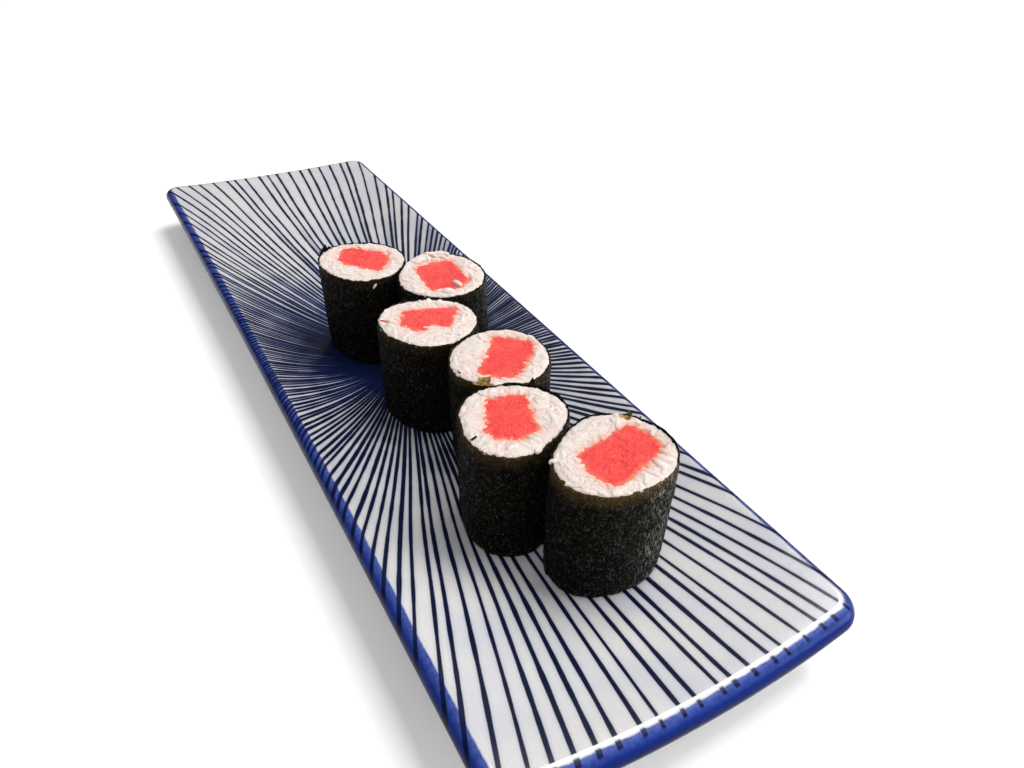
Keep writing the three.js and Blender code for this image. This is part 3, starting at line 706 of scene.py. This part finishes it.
turn = np.arange(TUNA_COLUMNS) / TUNA_COLUMNS * 2 * math.pi
circle = np.stack([np.cos(turn), np.sin(turn)], 1)
for index, roll in enumerate(ROLLS):
    middle, reach_out = strip_reach(roll, turn)
    wave = circle * reach_out[:, None]
    bitten = reach_out + 0.34 * ripple(wave, 3.4, 71 + index) + 0.15 * ripple(wave, 1.9, 81 + index)
    outline = circle * bitten[:, None] + middle
    rows, fringe = [], []
    for share in np.append(np.linspace(0.03, 0.90, 30), (0.94, 0.975, 0.993, 1.0)):
        flat = circle * (bitten * share)[:, None] + middle
        rounding = 0.55 * max(0.0, (share - 0.90) / 0.10) ** 2.5
        uneven = 0.10 * ripple(flat, 3.0, 91 + index) + 0.05 * ripple(flat, 1.1, 95 + index)
        rows.append(np.column_stack([flat, TOP_HEIGHT + STRIP_PROUD - rounding + uneven]))
        fringe.append(np.clip(1 - bitten * (1 - share) / 1.9, 0, 1))
    for depth in (1.2, 4.0, 12.0, 24.0):
        rows.append(np.column_stack([outline, np.full(TUNA_COLUMNS, TOP_HEIGHT - depth)]))
        fringe.append(np.ones(TUNA_COLUMNS))
    rows.append(np.column_stack([outline, bottom_height(roll, *outline.T)]))
    fringe.append(np.ones(TUNA_COLUMNS))
    strip = stood_up(roll, np.array(rows))
    top_pole = stood_up(roll, np.array([*middle, TOP_HEIGHT + STRIP_PROUD]))
    low_pole = stood_up(roll, np.array([*middle, float(bottom_height(roll, *middle))]))
    parts, fringes = [skin(strip, top_pole, low_pole)], [np.append(np.concatenate(fringe), (0, 1))]
    if index == THREAD_ROLL:
        # a thin dark thread of it lies across the rice at the rim
        points, faces = flake((-4.9, -12.0, 33.35), 45, 3, 3.0, 0.5, 231)
        parts.append((stood_up(roll, points), faces))
        fringes.append(np.full(len(points), 0.15))
    mesh = joined(f"tuna_{index + 1}_strip", parts, fringe=np.concatenate(fringes))
    piece_from(mesh, tuna_flesh.material, "tuna", f"tuna_{index + 1}")

# Rice: short-grain rice pressed round the strip. A knife has cut its face, so
# the grains there lie almost level, and those at the rim swell over the nori.
RICE_COLUMNS = 200
GRAINS_A_ROLL, TRIES = 170, 12
GRAIN_ROWS, GRAIN_COLUMNS = 7, 8
GRAIN_FLATNESS = 0.85  # a grain's thickness over its width
CHUNK_ROLL, CHUNK_HEIGHT, CHUNK_FROM, CHUNK_TO = 1, 1.5, 150, 212
# the third colour on the next line is painted shade, for the gaps between grains
RICE_WARM, RICE_DULL, RICE_GAP_SHADE = (0.885, 0.765, 0.685), (0.81, 0.675, 0.60), (0.64, 0.50, 0.43)
# the first colour on the next line is a painted highlight, for glints on the grains
RICE_GLINT_PALE, RICE_ROSY, TUNA_STAIN = (0.97, 0.91, 0.87), (0.86, 0.66, 0.60), (0.90, 0.40, 0.30)

rice_cooked = Shade("vinegared_rice")
spot = rice_cooked.place((1000.0, 1000.0, 1000.0))
mottle = rice_cooked.noise(spot, 0.5, 3.0)
grain_gaps = rice_cooked.noise(spot, 1.8, 4.0, 0.7)
fine = rice_cooked.noise(spot, 3.4, 3.0, 0.6)
colour = rice_cooked.mix(rice_cooked.band(mottle, 0.35, 0.68), RICE_WARM, RICE_DULL)
# painted shade: darker specks stand in for the shade in the gaps between grains
colour = rice_cooked.mix(rice_cooked.band(grain_gaps, 0.30, 0.43, 0.6, 0.0), colour, RICE_GAP_SHADE)
# painted highlights: pale specks stand in for small glints of light on the grains
colour = rice_cooked.mix(rice_cooked.band(fine, 0.54, 0.66, 0.0, 0.8), colour, RICE_GLINT_PALE)
rosy = rice_cooked.band(rice_cooked.noise(spot, 0.16, 2.0), 0.45, 0.65, 0.0, 0.55)
colour = rice_cooked.mix(rosy, colour, RICE_ROSY)
stained = rice_cooked.band(rice_cooked.value("stain"), 0.08, 1.0, 0.0, 0.85)
colour = rice_cooked.mix(stained, colour, TUNA_STAIN)
rice_cooked.set(Base_Color=colour, Roughness=rice_cooked.band(fine, 0.4, 0.6, 0.40, 0.24),
                Subsurface_Weight=0.15, Subsurface_Scale=0.0012)
rice_cooked.body.inputs["Subsurface Radius"].default_value = (1.0, 0.8, 0.6)
rice_cooked.bump(rice_cooked.plus(grain_gaps, rice_cooked.times(fine, 0.7)), 0.9, 0.0006)

# whole grains that lie loose on top or poke out: roll, place in its own axes,
# heading and tip, length, width
LOOSE_GRAINS = [
    (1, (8.4, 1.6, 33.1), -80, 4, 4.6, 2.3), (1, (11.6, -3.0, 32.9), -40, -4, 4.4, 3.0),
    (1, (9.8, -4.9, 32.75), -20, 0, 3.6, 2.3), (2, (-10.4, 4.6, 32.95), 62, 10, 3.8, 1.8),
    (2, (-9.2, 7.6, 32.9), 40, -8, 3.6, 1.7), (2, (-11.0, 2.4, 32.8), 85, 6, 3.4, 1.7),
    (3, (2.2, -13.2, 32.6), 5, -24, 3.0, 1.9), (4, (13.9, -0.9, 32.6), 30, -10, 2.8, 1.7),
    (5, (-4.2, -13.7, 32.6), -20, -14, 2.6, 1.7), (0, (14.7, -1.6, 30.4), -6, 50, 2.2, 1.0),
]


def grain_shape():
    """One cooked grain along Y, 1 long and 1 wide: an ellipsoid with blunt ends
    and a slight bend."""
    v = np.linspace(0, math.pi, GRAIN_ROWS + 2)[1:-1, None]
    u = np.arange(GRAIN_COLUMNS) / GRAIN_COLUMNS * 2 * math.pi
    girth = np.sin(v) ** 0.75
    y = -np.cos(v) * 0.5
    x = girth * np.cos(u) * 0.5 + 0.16 * y ** 2
    rings = np.stack([x, y + 0 * u, girth * np.sin(u) * 0.5], -1)
    return skin(rings, (0.04, -0.5, 0), (0.04, 0.5, 0))


grain_points, grain_faces = grain_shape()


def laid(length, width, spin, tip, heading):
    """The grain stretched to its size, spun about its length, tipped, and turned
    about the upright axis."""
    c, s = np.cos([spin, tip, heading]), np.sin([spin, tip, heading])
    points = grain_points * (width, length, width * GRAIN_FLATNESS)
    points = points @ np.array([[c[0], 0, -s[0]], [0, 1, 0], [s[0], 0, c[0]]])
    points = points @ np.array([[1, 0, 0], [0, c[1], s[1]], [0, -s[1], c[1]]])
    return points @ np.array([[c[2], s[2], 0], [-s[2], c[2], 0], [0, 0, 1]])


def rice_level(flat, rim_share, index):
    """Height of the cut face: level, with a low swell between strip and rim, the
    unevenness of pressed grains, and on the second roll a chunk that the knife
    left standing, steep at its first bearing and gentle at its last."""
    swell = 0.28 * np.sin(math.pi * np.clip(rim_share, 0, 1)) ** 0.8
    uneven = 0.12 * ripple(flat, 3.4, 111 + index) + 0.07 * ripple(flat, 1.3, 121 + index)
    chunk = 0.0
    if index == CHUNK_ROLL:
        bearing = np.degrees(np.arctan2(flat[..., 1], flat[..., 0])) % 360
        steep = 1 + np.exp((CHUNK_FROM - bearing) / 1.6)
        gentle = 1 + np.exp((bearing - CHUNK_TO) / 9)
        chunk = CHUNK_HEIGHT * np.clip(rim_share * 1.6 - 0.35, 0, 1) / steep / gentle
    return TOP_HEIGHT + 0.12 + swell + chunk + uneven


turn = np.arange(RICE_COLUMNS) / RICE_COLUMNS * 2 * math.pi
circle = np.stack([np.cos(turn), np.sin(turn)], 1)
for index, roll in enumerate(ROLLS):
    draw = np.random.default_rng(900 + index)
    middle, reach_out = strip_reach(roll, turn)
    inner = circle * (reach_out - 0.15)[:, None] + middle
    ragged = 0.12 * ripple(circle * roll["r"], 2.2, 131 + index)
    outer = circle * (roll_radius(roll, turn, 1) - 0.42 + ragged)[:, None]
    rows, stain = [], []
    for depth in (26.0, 8.0, 1.5):
        rows.append(np.column_stack([inner, np.full(RICE_COLUMNS, TOP_HEIGHT - depth)]))
        stain.append(np.ones(RICE_COLUMNS))
    for share in np.linspace(0, 1, 22):
        flat = inner * (1 - share) + outer * share
        turned = 0.45 * max(0.0, (share - 0.88) / 0.12) ** 2
        rows.append(np.column_stack([flat, rice_level(flat, share, index) - turned]))
        stain.append(np.exp(-np.linalg.norm(flat - inner, axis=1) / 1.4))
    wall = circle * (roll_radius(roll, turn, 1) - 0.66)[:, None]
    for level in (TOP_HEIGHT - 0.7, TOP_HEIGHT - 2.5):
        rows.append(np.column_stack([wall, np.full(RICE_COLUMNS, level)]))
        stain.append(np.zeros(RICE_COLUMNS))
    for share in (0.6, 0.3, 0.02):
        flat = circle * (roll_radius(roll, turn, share) - 0.8)[:, None]
        level = np.full(RICE_COLUMNS, TOP_HEIGHT * share) if share > 0.1 else bottom_height(roll, *flat.T)
        rows.append(np.column_stack([flat, level]))
        stain.append(np.zeros(RICE_COLUMNS))
    rows.append(np.column_stack([inner, bottom_height(roll, *inner.T)]))
    stain.append(np.ones(RICE_COLUMNS))
    parts, stains = [skin(stood_up(roll, np.array(rows)), closed=True)], [np.concatenate(stain)]
    placed = np.zeros((0, 2))
    for _ in range(GRAINS_A_ROLL):
        # of a dozen tries, a third of them near the rim, the one with the most room
        a = draw.uniform(0, 2 * math.pi, TRIES)
        anywhere, near_rim = draw.uniform(-0.06, 1.0, TRIES), draw.uniform(0.8, 1.0, TRIES)
        share = np.where(np.arange(TRIES) % 3 > 0, anywhere, near_rim)
        way = np.stack([np.cos(a), np.sin(a)], 1)
        near_end = way * (strip_reach(roll, a)[1] + 0.3)[:, None] + middle
        far_end = way * (roll_radius(roll, a, 1) - 1.5)[:, None]
        tries = near_end * (1 - share)[:, None] + far_end * share[:, None]
        space = np.ones(TRIES)
        if len(placed):
            space = np.linalg.norm(tries[:, None] - placed[None], axis=2).min(1)
        best = int(space.argmax())
        at, share, a = tries[best], float(share[best]), float(a[best])
        placed = np.vstack([placed, at])
        length, width = draw.uniform(3.6, 5.4), draw.uniform(1.9, 2.5)
        heading = a + draw.normal(0, 0.5) if share > 0.8 else draw.uniform(0, math.pi)
        local = laid(length, width, draw.uniform(0, 2 * math.pi), draw.normal(0, 0.10), heading)
        cut = float(rice_level(at[None], np.array([share]), index)[0]) - 0.4 * max(0, (share - 0.88) / 0.12)
        local = local + (*at, cut - width * GRAIN_FLATNESS / 2 + draw.uniform(0.12, 0.42))
        # the knife has planed what stands above the cut, and the seaweed holds it in
        local[:, 2] = np.where(local[:, 2] > cut, cut + (local[:, 2] - cut) * 0.45, local[:, 2])
        out = np.hypot(local[:, 0], local[:, 1])
        limit = roll_radius(roll, np.arctan2(local[:, 1], local[:, 0]), 1) - 0.38
        local[:, :2] *= np.minimum(1, limit / out)[:, None]
        from_middle = local[:, :2] - middle
        bearings = np.arctan2(from_middle[:, 1], from_middle[:, 0])
        gap = np.hypot(*from_middle.T) - strip_reach(roll, bearings)[1]
        parts.append((stood_up(roll, local), grain_faces))
        stains.append(np.exp(-np.clip(gap, 0, None) / 1.4) * draw.uniform(0.35, 1.0))
    for owner, place, heading, tip, length, width in LOOSE_GRAINS:
        if owner == index:
            local = laid(length, width, draw.uniform(0, 6), math.radians(tip), math.radians(heading)) + place
            parts.append((stood_up(roll, local), grain_faces))
            stains.append(np.zeros(len(local)))
    mesh = joined(f"rice_{index + 1}_cooked", parts, stain=np.concatenate(stains))
    piece_from(mesh, rice_cooked.material, "rice", f"rice_{index + 1}")
